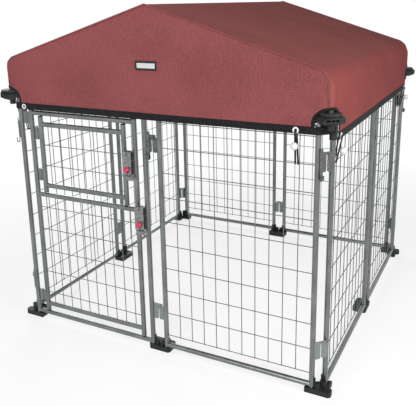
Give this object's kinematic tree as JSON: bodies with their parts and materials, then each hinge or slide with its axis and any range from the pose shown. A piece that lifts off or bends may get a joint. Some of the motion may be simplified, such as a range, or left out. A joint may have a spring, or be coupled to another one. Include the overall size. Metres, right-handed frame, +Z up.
{
  "type": "outdoor dog kennel run",
  "caption": "Square outdoor dog pen of wire-mesh tube panels with a hinged gate, a small hatch in the gate, drop-bolt latches, plastic feet and a gabled fabric canopy on roof bows.",
  "frame": {"origin": "on the ground at the centre of the square pen", "axes": "+X to the right along the front, +Y from the front to the back, +Z up"},
  "size_m": [1.3928, 1.3928, 1.3096],
  "materials": {
    "coated_tube": "satin grey powder coat",
    "mesh_wire": "satin grey powder coat",
    "zinc_steel": "zinc plated",
    "black_plastic": "matt moulded",
    "red_plastic": "gloss",
    "canopy_fabric": "woven coated polyester",
    "black_webbing": "ribbed tape",
    "elastic_cord": "braided cover",
    "white_plastic": "satin"
  },
  "bodies": {
    "pen": {"door_panel_frame": "coated_tube", "front_panel_frame": "coated_tube", "right_front_frame": "coated_tube", "right_back_frame": "coated_tube", "back_right_frame": "coated_tube", "back_left_frame": "coated_tube", "left_back_frame": "coated_tube", "left_front_frame": "coated_tube", "front_panel_mesh": "mesh_wire", "right_front_mesh": "mesh_wire", "right_back_mesh": "mesh_wire", "back_right_mesh": "mesh_wire", "back_left_mesh": "mesh_wire", "left_back_mesh": "mesh_wire", "left_front_mesh": "mesh_wire", "post_plugs": "black_plastic", "gate_post_leaves": "coated_tube", "gate_hinge_pins": "zinc_steel", "gate_latch_strike": "zinc_steel", "connector_staples": "coated_tube", "connector_hooks": "coated_tube", "connector_straps": "zinc_steel", "mid_feet": "black_plastic", "corner_feet": "black_plastic", "corner_brackets": "black_plastic", "front_bow": "coated_tube", "back_bow": "coated_tube", "ridge_connectors": "black_plastic", "ridge_pole": "coated_tube", "canopy_roof": "canopy_fabric", "canopy_front_gable": "canopy_fabric", "canopy_back_gable": "canopy_fabric", "canopy_hem": "black_webbing", "gable_piping": "canopy_fabric", "label_patch": "black_webbing", "grommets": "white_plastic", "tie_cords": "elastic_cord", "tie_balls": "white_plastic"},
    "gate": {"gate_frame": "coated_tube", "gate_mesh": "mesh_wire", "gate_plugs": "black_plastic", "gate_leaves": "coated_tube", "hatch_gate_leaves": "coated_tube", "hatch_hinge_pins": "zinc_steel", "gate_latch_case": "zinc_steel", "gate_latch_screw": "zinc_steel", "hatch_latch_strike": "zinc_steel"},
    "hatch": {"hatch_frame": "coated_tube", "hatch_mesh": "mesh_wire", "hatch_plugs": "black_plastic", "hatch_leaves": "coated_tube", "hatch_latch_case": "zinc_steel", "hatch_latch_screw": "zinc_steel"},
    "gate_bolt": {"gate_latch_bolt": "zinc_steel", "gate_latch_knob": "red_plastic"},
    "hatch_bolt": {"hatch_latch_bolt": "zinc_steel", "hatch_latch_knob": "red_plastic"}
  },
  "joints": [
    {"name": "gate_hinge", "type": "hinge", "parent": "pen", "child": "gate", "pos_m": [-0.5845, -0.647, 0], "axis": [0, 0, -1], "range_deg": [0, 110]},
    {"name": "hatch_hinge", "type": "hinge", "parent": "gate", "child": "hatch", "pos_m": [-0.53575, -0.647, 0], "axis": [0, 0, -1], "range_deg": [0, 110]},
    {"name": "gate_bolt_slide", "type": "slide", "parent": "gate", "child": "gate_bolt", "axis": [0, 0, -1], "range_m": [0, 0.012]},
    {"name": "hatch_bolt_slide", "type": "slide", "parent": "hatch", "child": "hatch_bolt", "axis": [0, 0, -1], "range_m": [0, 0.012]}
  ]
}
